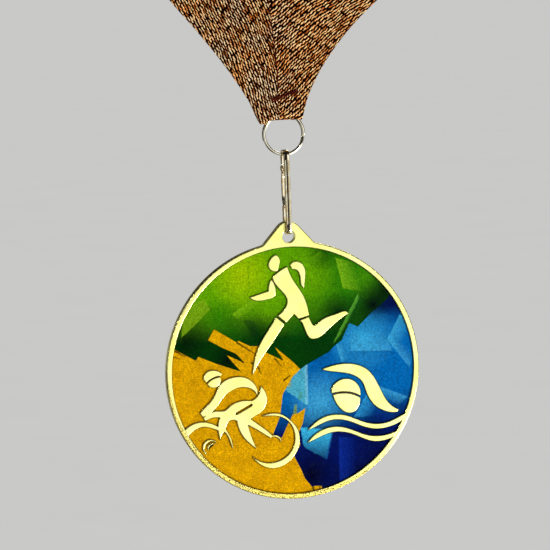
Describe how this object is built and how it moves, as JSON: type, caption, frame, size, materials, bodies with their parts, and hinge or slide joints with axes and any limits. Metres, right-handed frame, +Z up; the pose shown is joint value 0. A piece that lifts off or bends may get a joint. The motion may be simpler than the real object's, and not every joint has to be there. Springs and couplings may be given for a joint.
{
  "type": "finisher medal on neck ribbon",
  "caption": "Round enamelled sports finisher medal with raised athlete figures, hung by a snap clip and split ring on a woven V-shaped neck ribbon.",
  "frame": {"origin": "middle of the ribbon at the nape, where the wearer's neck carries it", "axes": "+Z up, -Y the way the medal faces, +X the wearer's left"},
  "size_m": [0.2212, 0.1419, 0.2739],
  "materials": {
    "gold_plate": "pale gold plate, fine satin",
    "green_enamel": "semi-gloss enamel, fine sparkle",
    "amber_enamel": "semi-gloss enamel, fine sparkle",
    "blue_enamel": "semi-gloss enamel, fine sparkle",
    "ring_steel": "bright champagne plate",
    "clip_steel": "bright champagne plate",
    "ribbon_weave": "metallic gold-brown weave",
    "ribbon_thread": "dark brown thread"
  },
  "bodies": {
    "ribbon": {"neck_ribbon": "ribbon_weave", "bar_tack": "ribbon_thread", "seam_thread": "ribbon_thread"},
    "fold": {"ribbon_fold": "ribbon_weave"},
    "ring": {"split_ring": "ring_steel"},
    "clip": {"clip_body": "clip_steel", "clip_rivet": "clip_steel"},
    "gate": {"clip_gate": "clip_steel"},
    "medal": {"medal_body": "gold_plate", "enamel_green": "green_enamel", "enamel_amber": "amber_enamel", "enamel_blue": "blue_enamel"}
  },
  "joints": [
    {"name": "fold_flex", "type": "hinge", "parent": "ribbon", "child": "fold", "pos_m": [0, -0.135, -0.15401], "axis": [1, 0, 0], "range_deg": [-25, 25]},
    {"name": "ring_turn", "type": "hinge", "parent": "fold", "child": "ring", "pos_m": [0, -0.135, -0.16311], "axis": [0, 1, 0], "range_deg": [-40, 40]},
    {"name": "clip_swing", "type": "hinge", "parent": "ring", "child": "clip", "pos_m": [0, -0.135, -0.16853], "axis": [1, 0, 0], "range_deg": [-60, 60]},
    {"name": "medal_swing", "type": "hinge", "parent": "clip", "child": "medal", "pos_m": [0, -0.135, -0.19061], "axis": [0, 1, 0], "range_deg": [-50, 50]},
    {"name": "gate_open", "type": "hinge", "parent": "clip", "child": "gate", "pos_m": [0, -0.13323, -0.17241], "axis": [1, 0, 0], "range_deg": [-12, 0], "stiffness_Nm_per_rad": 0.001}
  ]
}
